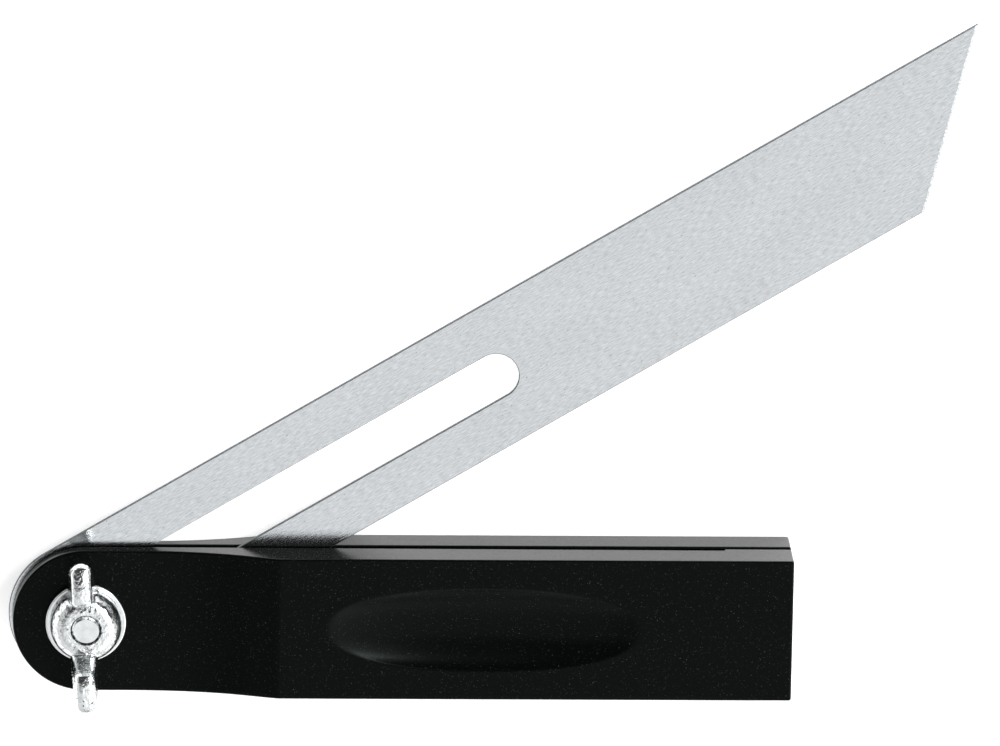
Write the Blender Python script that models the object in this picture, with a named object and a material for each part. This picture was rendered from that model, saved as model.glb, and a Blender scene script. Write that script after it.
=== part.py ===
"""Sliding bevel, for taking and marking angles.

A slotted steel blade runs in the kerf between the two halves of a cast stock. A bolt goes
through the round head, and its wing nut pinches the blade between the two leaves there.

Metres, with +Z up. The tool lies on the rear face of its stock. The stock runs along +X from
the pivot to the butt, the blade opens towards +Y, and the wing nut faces up. Everything hangs
from one empty on the pivot's axis, placed so that the world's origin is under the middle of
the tool's box.
"""

import math

import bmesh
import bpy
from mathutils import Vector

MM = 0.001

# The blade, a 10 inch one
blade_length = 254.0 * MM
blade_width = 31.2 * MM
blade_thickness = 1.2 * MM
slot_width = 10.2 * MM
slot_travel = 106.9 * MM
tip_angle = math.radians(45.0)
rest_angle = math.radians(31.0)
rest_retraction = 0.8 * MM
blade_edge_break = 0.15 * MM

# The stock
butt_reach = 156.7 * MM
stock_margin = 0.6 * MM
body_thickness = 19.7 * MM
blade_middle = 9.5 * MM
kerf_side_clearance = 0.2 * MM
kerf_spread = 0.7 * MM
front_recess = 5.85 * MM
rear_recess = 5.6 * MM
ramp_crease_reach = 43.1 * MM
ramp_foot_reach = 9.0 * MM
ramp_crease_pull = 5.0 * MM
ramp_crease_drop = 0.6 * MM
ramp_foot_pull = 22.0 * MM
edge_round = 0.5 * MM

# The thumb scoops in both faces
scoop_reach = 88.1 * MM
scoop_half_length = 34.4 * MM
scoop_half_width = 9.5 * MM
scoop_depth = 3.2 * MM
scoop_sphere_share = 0.5

# The joint between the halves at the butt
land_length = 15.1 * MM
land_inset = 1.5 * MM
pad_height = 0.95 * MM
peg_radius = 2.0 * MM
peg_length = 3.0 * MM

# The two screws that hold the halves together
screw_diameter = 3.5 * MM
screw_head_diameter = 7.0 * MM
screw_head_height = 2.2 * MM
screw_length = 14.5 * MM
screw_spacing = 18.0 * MM
screw_sink = 0.3 * MM
screw_slot_width = 0.9 * MM
screw_slot_depth = 0.9 * MM

# The pivot: a quarter inch carriage bolt in a thin sleeve
bolt_diameter = 6.35 * MM
bolt_stand_out = 7.4 * MM
bolt_end_chamfer = 0.6 * MM
bolt_head_diameter = 13.6 * MM
bolt_head_height = 3.2 * MM
bolt_neck_width = 6.6 * MM
sleeve_wall = 0.3 * MM

# The washer and the wing nut
washer_diameter = 17.9 * MM
washer_thickness = 1.6 * MM
washer_edge_round = 0.25 * MM
boss_base_diameter = 15.9 * MM
boss_top_diameter = 9.4 * MM
boss_height = 5.5 * MM
boss_skirt_height = 1.2 * MM
boss_edge_round = 0.4 * MM
boss_dome_pull = 2.0 * MM
wing_span = 34.7 * MM
wing_tip_radius = 2.7 * MM
wing_tip_middle_height = 11.4 * MM
wing_crown_reach = 10.3 * MM
wing_crown_height = 13.6 * MM
wing_crown_outer_pull = 3.6 * MM
wing_crown_inner_pull = 2.0 * MM
wing_crown_angle = math.radians(68)
wing_slope = math.radians(60)
wing_slope_pull = 4.0 * MM
wing_root_reach = 4.0 * MM
wing_root_height = 4.7 * MM
wing_root_pull = 3.6 * MM
wing_base_thickness = 6.2 * MM
wing_crown_thickness = 4.0 * MM
wing_round = 0.9 * MM
nut_turn = math.radians(2.8)

# Clearances
seat_gap = 0.2 * MM
running_clearance = 0.1 * MM
bolt_clearance = 0.3 * MM
hole_clearance = 0.25 * MM
cut_overrun = 2.0 * MM
weld_distance = 0.001 * MM

# How finely round shapes are divided
head_sides = 40
slot_end_sides = 20
ramp_steps = 14
pin_sides = 32
washer_sides = 64
scoop_sides = 56
wing_curve_steps = 8
boss_dome_steps = 4
bevel_steps = 2
dome_steps = 8
corner_angle = math.radians(50)
soft_angle = math.radians(30)

# What follows from the sizes above
heel_radius = blade_width / 2
head_radius = heel_radius + stock_margin
stock_height = 2 * head_radius
kerf_at_head = blade_thickness + 2 * kerf_side_clearance
land_reach = butt_reach - land_length
rear_leaf_face = rear_recess
front_leaf_face = body_thickness - front_recess
kerf_floor = blade_middle - kerf_at_head / 2
bolt_radius = bolt_diameter / 2
sleeve_bore_radius = bolt_radius + running_clearance
sleeve_radius = sleeve_bore_radius + sleeve_wall
blade_side_step = slot_width / 2 - sleeve_radius - running_clearance
washer_base = front_leaf_face + seat_gap
nut_base = washer_base + washer_thickness + seat_gap
screw_reach = butt_reach - land_length / 2


def kerf_roof(reach):
    """Height of the front half's inner face, which rises a little from the pivot to the butt."""
    return kerf_floor + kerf_at_head + kerf_spread * reach / land_reach


def clear_scene():
    for thing in list(bpy.data.objects):
        bpy.data.objects.remove(thing, do_unlink=True)


def finish(name, colour, roughness, metallic):
    """A plain material with the colour, roughness and metallic value of the real surface."""
    material = bpy.data.materials.new(name)
    material.use_nodes = True
    shader = material.node_tree.nodes["Principled BSDF"]
    shader.inputs["Base Color"].default_value = (*colour, 1)
    shader.inputs["Roughness"].default_value = roughness
    shader.inputs["Metallic"].default_value = metallic
    return material


def add_empty(name, location, parent=None):
    empty = bpy.data.objects.new(name, None)
    empty.location = location
    empty.parent = parent
    bpy.context.scene.collection.objects.link(empty)
    return empty


def add_piece(name, shape, material, parent, location=(0, 0, 0), turn=0):
    """Turn a bmesh into a named object under its parent."""
    bmesh.ops.recalc_face_normals(shape, faces=shape.faces)
    mesh = bpy.data.meshes.new(name)
    shape.to_mesh(mesh)
    shape.free()
    piece = bpy.data.objects.new(name, mesh)
    piece.location = location
    piece.rotation_euler = (0, 0, turn)
    piece.parent = parent
    if material is not None:
        mesh.materials.append(material)
    bpy.context.scene.collection.objects.link(piece)
    return piece


def shade(piece):
    """Round faces look round, and sharper edges stay crisp."""
    piece.data.shade_smooth()
    piece.data.set_sharp_from_angle(angle=soft_angle)


def add_tool(name, shape, parent, location=(0, 0, 0), turn=0):
    """A body that only cuts or joins another: it isn't a piece of the tool."""
    body = add_piece(name, shape, None, parent, location, turn)
    body.hide_render = True
    body.display_type = "WIRE"
    return body


def combine(piece, body, operation="DIFFERENCE"):
    step = piece.modifiers.new(operation.lower() + "_" + body.name, "BOOLEAN")
    step.operation = operation
    step.object = body
    step.solver = "EXACT"


def round_edges(piece, width):
    """Round every real corner, and leave round stretches as they are."""
    step = piece.modifiers.new("round_edges", "BEVEL")
    step.width = width
    step.segments = bevel_steps
    step.limit_method = "ANGLE"
    step.angle_limit = corner_angle


def arc(centre, radius, start, end, steps):
    """Points of an arc in a plane, both ends included."""
    points = []
    for step in range(steps + 1):
        angle = start + (end - start) * step / steps
        points.append((centre[0] + radius * math.cos(angle), centre[1] + radius * math.sin(angle)))
    return points


def sweep(start, start_pull, end_pull, end, steps):
    """Points of a smooth curve between two points, without its first point."""
    points = []
    for step in range(1, steps + 1):
        along = step / steps
        back = 1 - along
        weights = (back ** 3, 3 * back ** 2 * along, 3 * back * along ** 2, along ** 3)
        corners = (start, start_pull, end_pull, end)
        points.append(tuple(sum(w * c[i] for w, c in zip(weights, corners)) for i in range(2)))
    return points


def plate(outline, floor, roof):
    """An outline in the XY plane, given height between two surfaces."""
    shape = bmesh.new()
    low = [shape.verts.new((x, y, floor(x))) for x, y in outline]
    high = [shape.verts.new((x, y, roof(x))) for x, y in outline]
    shape.faces.new(low[::-1])
    shape.faces.new(high)
    for step in range(len(outline)):
        after = (step + 1) % len(outline)
        shape.faces.new((low[step], low[after], high[after], high[step]))
    return shape


def slab(outline, low, high):
    """An outline in the XY plane between two flat heights."""
    return plate(outline, lambda reach: low, lambda reach: high)


def block(low_corner, high_corner):
    """A box between two corners."""
    low, high = Vector(low_corner), Vector(high_corner)
    shape = bmesh.new()
    bmesh.ops.create_cube(shape, size=1)
    bmesh.ops.scale(shape, vec=high - low, verts=shape.verts)
    bmesh.ops.translate(shape, vec=(low + high) / 2, verts=shape.verts)
    return shape


def turned(profile, sides, centre=(0, 0, 0)):
    """A closed profile of (radius, height) points, turned about the Z axis."""
    shape = bmesh.new()
    corners = [shape.verts.new((radius, 0, height)) for radius, height in profile]
    closed = min(radius for radius, _ in profile) > 0
    pairs = list(zip(corners, corners[1:]))
    if closed:
        pairs.append((corners[-1], corners[0]))
    edges = [shape.edges.new(pair) for pair in pairs]
    bmesh.ops.spin(shape, geom=corners + edges, cent=(0, 0, 0), axis=(0, 0, 1),
                   angle=math.tau, steps=sides, use_merge=True)
    bmesh.ops.remove_doubles(shape, verts=shape.verts, dist=weld_distance)
    bmesh.ops.translate(shape, vec=centre, verts=shape.verts)
    return shape


def stock_outline():
    """The round head about the pivot, and the straight body to the butt."""
    head = arc((0, 0), head_radius, math.pi / 2, 3 * math.pi / 2, head_sides)
    return head + [(butt_reach, -head_radius), (butt_reach, head_radius)]


def recess_profile(recess):
    """Side view of what is cut from a face at the head: (reach, depth below the face)."""
    crease = (ramp_crease_reach, 0)
    foot = (ramp_foot_reach, recess)
    crease_pull = (ramp_crease_reach - ramp_crease_pull, ramp_crease_drop)
    foot_pull = (ramp_foot_reach + ramp_foot_pull, recess)
    ramp = sweep(crease, crease_pull, foot_pull, foot, ramp_steps)
    beyond = -head_radius - cut_overrun
    return [(ramp_crease_reach, -cut_overrun), crease] + ramp + [(beyond, recess), (beyond, -cut_overrun)]


def head_recess(face, inward, recess):
    """The body cut away to thin one leaf of the head, with its easy ramp up to the body."""
    width = stock_height + 2 * cut_overrun
    shape = bmesh.new()
    sides = []
    for y in (-width / 2, width / 2):
        sides.append([shape.verts.new((reach, y, face + inward * depth))
                      for reach, depth in recess_profile(recess)])
    near, far = sides
    shape.faces.new(near)
    shape.faces.new(far[::-1])
    for step in range(len(near)):
        after = (step + 1) % len(near)
        shape.faces.new((near[step], far[step], far[after], near[after]))
    return shape


def thumb_scoop(face, inward):
    """A flattened ball sunk in a face, which leaves a long oval hollow."""
    spread = math.sqrt(1 - scoop_sphere_share ** 2)
    ball_height = scoop_depth / (1 - scoop_sphere_share)
    size = Vector((scoop_half_length / spread, scoop_half_width / spread, ball_height))
    shape = bmesh.new()
    bmesh.ops.create_uvsphere(shape, u_segments=scoop_sides, v_segments=scoop_sides // 2, radius=1)
    bmesh.ops.scale(shape, vec=size, verts=shape.verts)
    height = face - inward * scoop_sphere_share * ball_height
    bmesh.ops.translate(shape, vec=(scoop_reach, 0, height), verts=shape.verts)
    return shape


def pin_hole(radius, low, high, centre=(0, 0)):
    """A round body for a hole or a pin."""
    profile = [(0, high), (radius, high), (radius, low), (0, low)]
    return turned(profile, pin_sides, centre=(centre[0], centre[1], 0))


def screw_places():
    return {"butt_screw_upper": screw_spacing / 2, "butt_screw_lower": -screw_spacing / 2}


def screw_profile(slack):
    """A countersunk screw from behind, or the hole for it when there is slack."""
    head = screw_head_diameter / 2 + slack
    shank = screw_diameter / 2 + slack
    bottom = screw_sink if slack == 0 else -cut_overrun
    top = screw_sink + screw_length + slack
    return [(0, top), (shank / 2, top), (shank, top - shank), (shank, screw_sink + screw_head_height),
            (head, screw_sink), (head, bottom), (0, bottom)]


def make_rear_half(material, parent):
    half = add_piece("rear_half", slab(stock_outline(), 0, kerf_floor), material, parent)
    combine(half, add_tool("rear_recess_cut", head_recess(0, 1, rear_recess), parent))
    round_edges(half, edge_round)
    combine(half, add_tool("rear_scoop_cut", thumb_scoop(0, 1), parent))
    land_top = kerf_roof(land_reach) - pad_height - seat_gap
    land = block((land_reach + land_inset, -head_radius + land_inset, kerf_floor - cut_overrun),
                 (butt_reach - land_inset, head_radius - land_inset, land_top))
    combine(half, add_tool("land_block", land, parent), "UNION")
    peg = pin_hole(peg_radius, kerf_floor - cut_overrun, land_top + peg_length, (screw_reach, 0))
    combine(half, add_tool("land_peg", peg, parent), "UNION")
    for name, across in screw_places().items():
        hole = turned(screw_profile(hole_clearance), pin_sides, centre=(screw_reach, across, 0))
        combine(half, add_tool(name + "_rear_hole", hole, parent))
    neck_hole_half = bolt_neck_width / 2 + running_clearance
    neck_hole = block((-neck_hole_half, -neck_hole_half, -cut_overrun),
                      (neck_hole_half, neck_hole_half, blade_middle))
    combine(half, add_tool("neck_hole", neck_hole, parent))
    shade(half)
    return half


def make_front_half(material, parent):
    outline = stock_outline()
    shape = plate(outline, kerf_roof, lambda reach: body_thickness)
    half = add_piece("front_half", shape, material, parent)
    combine(half, add_tool("front_recess_cut", head_recess(body_thickness, -1, front_recess), parent))
    pad = block((land_reach, -head_radius, kerf_roof(land_reach) - pad_height),
                (butt_reach, head_radius, body_thickness - cut_overrun))
    combine(half, add_tool("pad_block", pad, parent), "UNION")
    round_edges(half, edge_round)
    combine(half, add_tool("front_scoop_cut", thumb_scoop(body_thickness, -1), parent))
    socket_top = kerf_roof(land_reach) - pad_height + peg_length + hole_clearance
    socket = pin_hole(peg_radius + hole_clearance, kerf_floor, socket_top, (screw_reach, 0))
    combine(half, add_tool("peg_socket", socket, parent))
    for name, across in screw_places().items():
        hole = turned(screw_profile(hole_clearance), pin_sides, centre=(screw_reach, across, 0))
        combine(half, add_tool(name + "_front_hole", hole, parent))
    bore = pin_hole(sleeve_radius + running_clearance, blade_middle, body_thickness)
    combine(half, add_tool("sleeve_bore", bore, parent))
    shade(half)
    return half


def make_butt_screws(material, parent):
    for name, across in screw_places().items():
        screw = add_piece(name, turned(screw_profile(0), pin_sides), material, parent,
                          location=(screw_reach, across, 0))
        half_width = screw_slot_width / 2
        slot = block((-screw_head_diameter, -half_width, -cut_overrun),
                     (screw_head_diameter, half_width, screw_sink + screw_slot_depth))
        combine(screw, add_tool(name + "_slot", slot, parent, location=(screw_reach, across, 0)))
        shade(screw)


def make_pivot_bolt(material, parent):
    """A domed head in the rear recess, a square neck in the rear leaf, and the shank."""
    seat = rear_leaf_face - seat_gap
    rim = bolt_head_diameter / 2
    dome_radius = (rim ** 2 + bolt_head_height ** 2) / (2 * bolt_head_height)
    dome_half_angle = math.asin(rim / dome_radius)
    dome_centre = seat - bolt_head_height + dome_radius
    dome = arc((0, dome_centre), dome_radius, dome_half_angle - math.pi / 2, -math.pi / 2, dome_steps)
    top = front_leaf_face + bolt_stand_out
    profile = [(0, top), (bolt_radius - bolt_end_chamfer, top), (bolt_radius, top - bolt_end_chamfer),
               (bolt_radius, seat)] + dome[:-1] + [(0, seat - bolt_head_height)]
    bolt = add_piece("pivot_bolt", turned(profile, pin_sides), material, parent)
    neck_top = kerf_floor - running_clearance
    half_neck = bolt_neck_width / 2
    neck = block((-half_neck, -half_neck, seat - running_clearance), (half_neck, half_neck, neck_top))
    combine(bolt, add_tool("bolt_neck", neck, parent), "UNION")
    shade(bolt)
    return bolt


def make_pivot_sleeve(material, parent):
    """The thin sleeve that the blade's slot bears on, between the rear leaf and the washer."""
    low = kerf_floor + running_clearance
    high = front_leaf_face - running_clearance
    profile = [(sleeve_bore_radius, high), (sleeve_radius, high), (sleeve_radius, low),
               (sleeve_bore_radius, low)]
    sleeve = add_piece("pivot_sleeve", turned(profile, pin_sides), material, parent)
    shade(sleeve)
    return sleeve


def blade_outline():
    """Along the blade from the round heel to the slanted tip, about the slot's near end."""
    corner = blade_length - heel_radius
    tip_run = blade_width / math.tan(tip_angle)
    heel = arc((0, 0), heel_radius, math.pi / 2, 3 * math.pi / 2, head_sides)
    return heel + [(corner - tip_run, -heel_radius), (corner, heel_radius)]


def slot_outline():
    near = arc((0, 0), slot_width / 2, math.pi / 2, 3 * math.pi / 2, slot_end_sides)
    far = arc((slot_travel, 0), slot_width / 2, -math.pi / 2, math.pi / 2, slot_end_sides)
    return near + far


def make_blade(material, swing):
    """The blade lies beside the pivot's axis, because its slot bears on one side of the sleeve."""
    low = blade_middle - blade_thickness / 2
    place = (-rest_retraction, blade_side_step, 0)
    blade = add_piece("blade", slab(blade_outline(), low, low + blade_thickness), material, swing, place)
    slot = slab(slot_outline(), low - cut_overrun, low + blade_thickness + cut_overrun)
    combine(blade, add_tool("slot_cut", slot, swing, place))
    round_edges(blade, blade_edge_break)
    shade(blade)
    return blade


def make_washer(material, parent):
    rim = washer_diameter / 2
    hole = bolt_radius + bolt_clearance
    low, high = washer_base, washer_base + washer_thickness
    ease = washer_edge_round
    profile = [(hole, high), (rim - ease, high), (rim, high - ease), (rim, low + ease), (rim - ease, low),
               (hole, low)]
    washer = add_piece("washer", turned(profile, washer_sides), material, parent)
    shade(washer)
    return washer


def towards(point, angle, distance):
    """The point at a distance from another one, in the direction of an angle."""
    return (point[0] + distance * math.cos(angle), point[1] + distance * math.sin(angle))


def wing_outline():
    """One wing seen along its thickness: (distance from the axis, height over the nut's base)."""
    tip = (wing_span / 2 - wing_tip_radius, wing_tip_middle_height)
    round_tip = arc(tip, wing_tip_radius, wing_slope - math.pi / 2, wing_crown_angle, wing_curve_steps)
    outer_start, crown_start = round_tip[0], round_tip[-1]
    crown_end = (wing_crown_reach, wing_crown_height)
    under = (boss_base_diameter / 2, boss_edge_round)
    root = (wing_root_reach, wing_root_height)
    downwards = wing_slope + math.pi
    inwards = wing_crown_angle + math.pi / 2
    curves = (
        (under, towards(under, 0, wing_slope_pull),
         towards(outer_start, downwards, wing_slope_pull), outer_start),
        (crown_start, towards(crown_start, inwards, wing_crown_outer_pull),
         towards(crown_end, wing_slope, wing_crown_inner_pull), crown_end),
        (crown_end, towards(crown_end, downwards, wing_slope_pull), towards(root, 0, wing_root_pull), root))
    outside, crown, inside = [sweep(*curve, wing_curve_steps) for curve in curves]
    return [(wing_root_reach, boss_edge_round), under] + outside + round_tip[1:] + crown + inside


def wing_shape(side):
    """A wing, thick at the boss and thinner towards its crown."""
    shape = bmesh.new()
    faces = []
    for across in (-1, 1):
        row = []
        for reach, height in wing_outline():
            share = height / wing_crown_height
            half = (wing_base_thickness * (1 - share) + wing_crown_thickness * share) / 2
            row.append(shape.verts.new((across * half, side * reach, nut_base + height)))
        faces.append(row)
    near, far = faces
    shape.faces.new(near)
    shape.faces.new(far[::-1])
    for step in range(len(near)):
        after = (step + 1) % len(near)
        shape.faces.new((near[step], far[step], far[after], near[after]))
    return shape


def make_wing_nut(material, parent):
    base, top = boss_base_diameter / 2, boss_top_diameter / 2
    bore = bolt_radius + running_clearance
    ease = boss_edge_round
    high = nut_base + boss_height
    skirt = nut_base + boss_skirt_height
    dome = sweep((top, high), (top + boss_dome_pull, high), (base, skirt + boss_dome_pull), (base, skirt),
                 boss_dome_steps)
    profile = [(bore, high), (top, high)] + dome
    profile += [(base, nut_base + ease), (base - ease, nut_base), (bore, nut_base)]
    nut = add_piece("wing_nut", turned(profile, pin_sides), material, parent, turn=nut_turn)
    for name, side in (("upper_wing", 1), ("lower_wing", -1)):
        wing = add_tool(name, wing_shape(side), parent, turn=nut_turn)
        round_edges(wing, wing_round)
        combine(nut, wing, "UNION")
    shade(nut)
    return nut


def tool_box_middle():
    """Middle of the tool's box in plan, measured from the pivot."""
    lengthwise = Vector((math.cos(rest_angle), math.sin(rest_angle)))
    crosswise = Vector((-lengthwise.y, lengthwise.x))
    slot_end = crosswise * blade_side_step - lengthwise * rest_retraction
    corner = slot_end + lengthwise * (blade_length - heel_radius) + crosswise * heel_radius
    low_x = min(-head_radius, slot_end.x - heel_radius)
    low_y = min(-head_radius, -wing_span / 2)
    return Vector(((low_x + corner.x) / 2, (low_y + corner.y) / 2))


def main():
    clear_scene()
    black_casting = finish("black_powder_coat", (0.012, 0.012, 0.013), 0.42, 0)
    bright_steel = finish("brushed_steel", (0.62, 0.64, 0.66), 0.34, 1)
    zinc_plate = finish("bright_zinc_plate", (0.78, 0.79, 0.8), 0.16, 1)
    middle = tool_box_middle()
    pivot = add_empty("pivot_axis", (-middle.x, -middle.y, 0))
    swing = add_empty("blade_swing_axis", (0, 0, 0), pivot)
    swing.rotation_euler = (0, 0, rest_angle)
    make_rear_half(black_casting, pivot)
    make_front_half(black_casting, pivot)
    make_butt_screws(zinc_plate, pivot)
    make_pivot_bolt(zinc_plate, pivot)
    make_pivot_sleeve(bright_steel, pivot)
    make_blade(bright_steel, swing)
    make_washer(zinc_plate, pivot)
    make_wing_nut(zinc_plate, pivot)


main()
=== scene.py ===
import math

import bmesh
import bpy
from mathutils import Matrix, Vector, noise


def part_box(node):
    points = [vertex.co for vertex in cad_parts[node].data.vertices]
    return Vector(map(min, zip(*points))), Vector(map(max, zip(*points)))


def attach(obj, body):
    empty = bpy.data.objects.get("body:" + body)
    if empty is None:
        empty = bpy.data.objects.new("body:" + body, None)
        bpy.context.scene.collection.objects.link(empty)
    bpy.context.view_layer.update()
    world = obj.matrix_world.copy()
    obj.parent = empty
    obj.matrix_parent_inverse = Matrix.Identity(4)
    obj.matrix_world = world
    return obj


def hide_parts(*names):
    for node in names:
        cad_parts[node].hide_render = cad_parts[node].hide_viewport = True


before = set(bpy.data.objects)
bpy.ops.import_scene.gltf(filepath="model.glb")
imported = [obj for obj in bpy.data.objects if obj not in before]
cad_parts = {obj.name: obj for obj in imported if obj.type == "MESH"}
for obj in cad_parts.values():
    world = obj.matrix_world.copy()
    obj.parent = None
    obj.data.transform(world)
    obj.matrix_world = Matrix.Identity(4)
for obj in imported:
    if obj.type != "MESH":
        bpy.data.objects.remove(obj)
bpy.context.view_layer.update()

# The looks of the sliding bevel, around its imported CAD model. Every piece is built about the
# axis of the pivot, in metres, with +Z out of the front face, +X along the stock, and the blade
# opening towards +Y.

MM = 0.001

# Where the CAD model has the pivot, and the heights of what is stacked on it
washer_low, washer_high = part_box("washer")
nut_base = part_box("wing_nut")[0].z
bolt_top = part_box("pivot_bolt")[1].z
pivot = Vector(((washer_low.x + washer_high.x) / 2, (washer_low.y + washer_high.y) / 2, 0))

# The blade
blade_length = 254.0 * MM
blade_width = 31.2 * MM
blade_thickness = 1.2 * MM
slot_width = 10.2 * MM
slot_travel = 106.9 * MM
tip_angle = math.radians(45)
rest_angle = math.radians(31.0)
rest_retraction = 0.8 * MM
blade_side_step = 1.425 * MM
blade_edge_break = 0.15 * MM
tip_grind_width = 0.6 * MM
tip_grind_angle = math.radians(11)

# The stock
stock_margin = 0.6 * MM
butt_reach = 156.7 * MM
body_thickness = 19.7 * MM
blade_middle = 9.5 * MM
kerf_at_head = 1.6 * MM
kerf_spread = 0.7 * MM
front_recess = 5.85 * MM
rear_recess = 5.6 * MM
ramp_crease_reach = 43.1 * MM
ramp_foot_reach = 9.0 * MM
ramp_crease_pull = 5.0 * MM
ramp_crease_drop = 0.6 * MM
ramp_foot_pull = 22.0 * MM
edge_round = 0.5 * MM
land_length = 15.1 * MM
land_inset = 1.5 * MM
land_gap = 0.2 * MM
pad_height = 0.95 * MM

# The thumb scoops
scoop_reach = 88.1 * MM
scoop_half_length = 34.4 * MM
scoop_half_width = 9.5 * MM
scoop_depth = 3.2 * MM
scoop_bluntness = 2.3
scoop_sphere_share = 0.5
scoop_lip = 0.2 * MM
scoop_lip_rise = 0.03 * MM
scoop_reach_share = 1.08

# The butt screws
screw_diameter = 3.5 * MM
screw_head_diameter = 7.0 * MM
screw_head_height = 2.2 * MM
screw_spacing = 18.0 * MM
screw_sink = 0.3 * MM
screw_length = 14.5 * MM
screw_slot_width = 0.9 * MM
screw_slot_depth = 0.9 * MM
screw_edge_round = 0.12 * MM

# The bolt, a quarter inch one with 20 turns to the inch
bolt_radius = 3.175 * MM
thread_pitch = 1.27 * MM
thread_depth = 0.65 * MM
thread_length = 6.2 * MM
thread_steepness = 1.5
thread_crest_share = 0.25
bolt_end_chamfer = 0.3 * MM
bolt_head_radius = 6.8 * MM
bolt_head_height = 3.2 * MM
bolt_neck_half = 3.3 * MM
sleeve_radius = 3.575 * MM

# The washer and the wing nut
washer_radius = 8.95 * MM
washer_hole_radius = 3.475 * MM
washer_edge_round = 0.35 * MM
washer_low_edge_round = 0.15 * MM
boss_base_radius = 7.95 * MM
boss_top_radius = 4.7 * MM
boss_height = 5.5 * MM
boss_skirt_height = 1.2 * MM
boss_edge_round = 0.4 * MM
boss_dome_pull = 2.0 * MM
nut_bore_radius = 3.275 * MM
nut_mouth_radius = 3.5 * MM
nut_mouth_depth = 0.5 * MM
wing_span = 34.6 * MM
wing_tip_radius = 1.9 * MM
wing_tip_middle_height = 11.6 * MM
wing_crown_reach = 8.0 * MM
wing_crown_height = 13.6 * MM
wing_crown_outer_pull = 4.0 * MM
wing_crown_inner_pull = 2.6 * MM
wing_crown_angle = math.radians(75)
wing_crown_fall = math.radians(25)
wing_slope = math.radians(60)
wing_slope_pull = 4.0 * MM
wing_root_reach = 4.0 * MM
wing_root_height = 4.7 * MM
wing_root_pull = 3.6 * MM
wing_base_thickness = 6.2 * MM
wing_crown_thickness = 4.5 * MM
wing_edge_depth = 1.5 * MM
wing_edge_angle = math.radians(80)
wing_bluntness = 2.8
wing_end_round = 2.0 * MM
wing_end_taper = 0.7
wing_edge_rows = 14
wing_side_step = -0.7 * MM
nut_turn = math.radians(2.8)
nut_voxel = 0.17 * MM
nut_smoothing = 5
nut_ripple_size = 0.8 * MM
nut_ripple_height = 0.035 * MM

# Room between pieces, and how far a cutting body reaches past what it cuts
clearance = 0.1 * MM
hole_slack = 0.25 * MM
cut_overrun = 2.0 * MM

# How finely round shapes are divided
head_sides = 120
slot_end_sides = 48
ramp_steps = 44
pin_sides = 96
washer_sides = 160
scoop_sides = 144
scoop_rings = 48
wing_curve_steps = 20
boss_dome_steps = 16
thread_steps = 14
thread_sides = 72
corner_steps = 4
fine_corner_steps = 2
dome_steps = 24

# Corners that are rounded, edges that stay crisp, and how level the blade's faces are
corner_angle = math.radians(50)
soft_angle = math.radians(25)
broad_face_levelness = 0.99
ground_face_levelness = 0.9

# The blade's map for its brushing, and the places of its finishes in its list of materials
GRAIN_MAP = "across_the_grain"
FACE_FINISH, EDGE_FINISH, TIP_FINISH = range(3)

# The camera, as fitted to the outlines in the photograph. Its sensor is in millimetres.
camera_aim = Vector((90, 60, 9)) * MM
camera_aim_right = 1.048 * MM
camera_aim_up = -3.589 * MM
camera_yaw = math.radians(-2.885)
camera_pitch = math.radians(16.0)
camera_roll = math.radians(1.093)
camera_distance = 3.0
focal_length_in_widths = 13.5675
camera_clip_shares = (0.1, 100)
sensor_width = 36

# The studio. The edges of its lights are given as the X, Y or Z of a direction.
floor_half_width = 12.0
floor_gap = 0.02 * MM
paper_glow = 0.6
room_level = 0.06
ceiling_light_level = 1.0
ceiling_light_far_level = 2.8
ceiling_light_far_span = (0.14, 0.48)
ceiling_light_near_edge = (0.08, -0.1)
ceiling_light_left_edge = (-0.5, -0.05)
ceiling_light_left_share = 0.3
ceiling_light_foot = (0.38, 0.6)
ceiling_light_foot_share = 0.35
halo_azimuth = math.radians(30)
halo_elevation = math.radians(61)
halo_level = 4.0
halo_reach = math.radians(5)
halo_fade = math.radians(14)
halo_side = (0.12, 0.3)
backdrop_edge = (0.04, 0.09)
key_azimuth = math.radians(48)
key_elevation = math.radians(54)
key_distance = 0.7
key_size = (0.24, 0.16)
key_brightness = 22.0
panel_azimuth = math.radians(200)
panel_elevation = math.radians(24)
panel_distance = 1.2
panel_size = (3.0, 0.95)
panel_brightness = 0.65

# What follows from the sizes above
heel_radius = blade_width / 2
head_radius = heel_radius + stock_margin
land_reach = butt_reach - land_length
screw_reach = butt_reach - land_length / 2
kerf_floor = blade_middle - kerf_at_head / 2


def kerf_roof(reach):
    """Height of the front half's inner face at a distance from the pivot."""
    return kerf_floor + kerf_at_head + kerf_spread * reach / land_reach


# Colours and materials

# Sockets of a Mix node that mixes colours, which share their names with its other sockets
MIX_SHARE, MIX_FIRST, MIX_SECOND, MIX_RESULT = 0, 6, 7, 2


def linear(code):
    """An sRGB hex colour as the linear colour that a shader takes."""
    channels = [int(code[i:i + 2], 16) / 255 for i in (0, 2, 4)]
    return (*[c / 12.92 if c <= 0.04045 else ((c + 0.055) / 1.055) ** 2.4 for c in channels], 1)


def set_sockets(tree, node, sockets):
    """Gives a node's sockets their values, colours as hex codes, and links."""
    for name, value in sockets.items():
        if isinstance(value, bpy.types.NodeSocket):
            tree.links.new(value, node.inputs[name])
        else:
            node.inputs[name].default_value = linear(value) if isinstance(value, str) else value


def add_node(tree, kind, sockets=None, **settings):
    """Adds a node with its settings, its values and its links."""
    node = tree.nodes.new(kind)
    for name, value in settings.items():
        setattr(node, name, value)
    set_sockets(tree, node, sockets or {})
    return node


def new_material(name):
    """A material with its node tree and its one Principled shader."""
    material = bpy.data.materials.new(name)
    material.use_nodes = True
    return material, material.node_tree, material.node_tree.nodes["Principled BSDF"]


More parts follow.
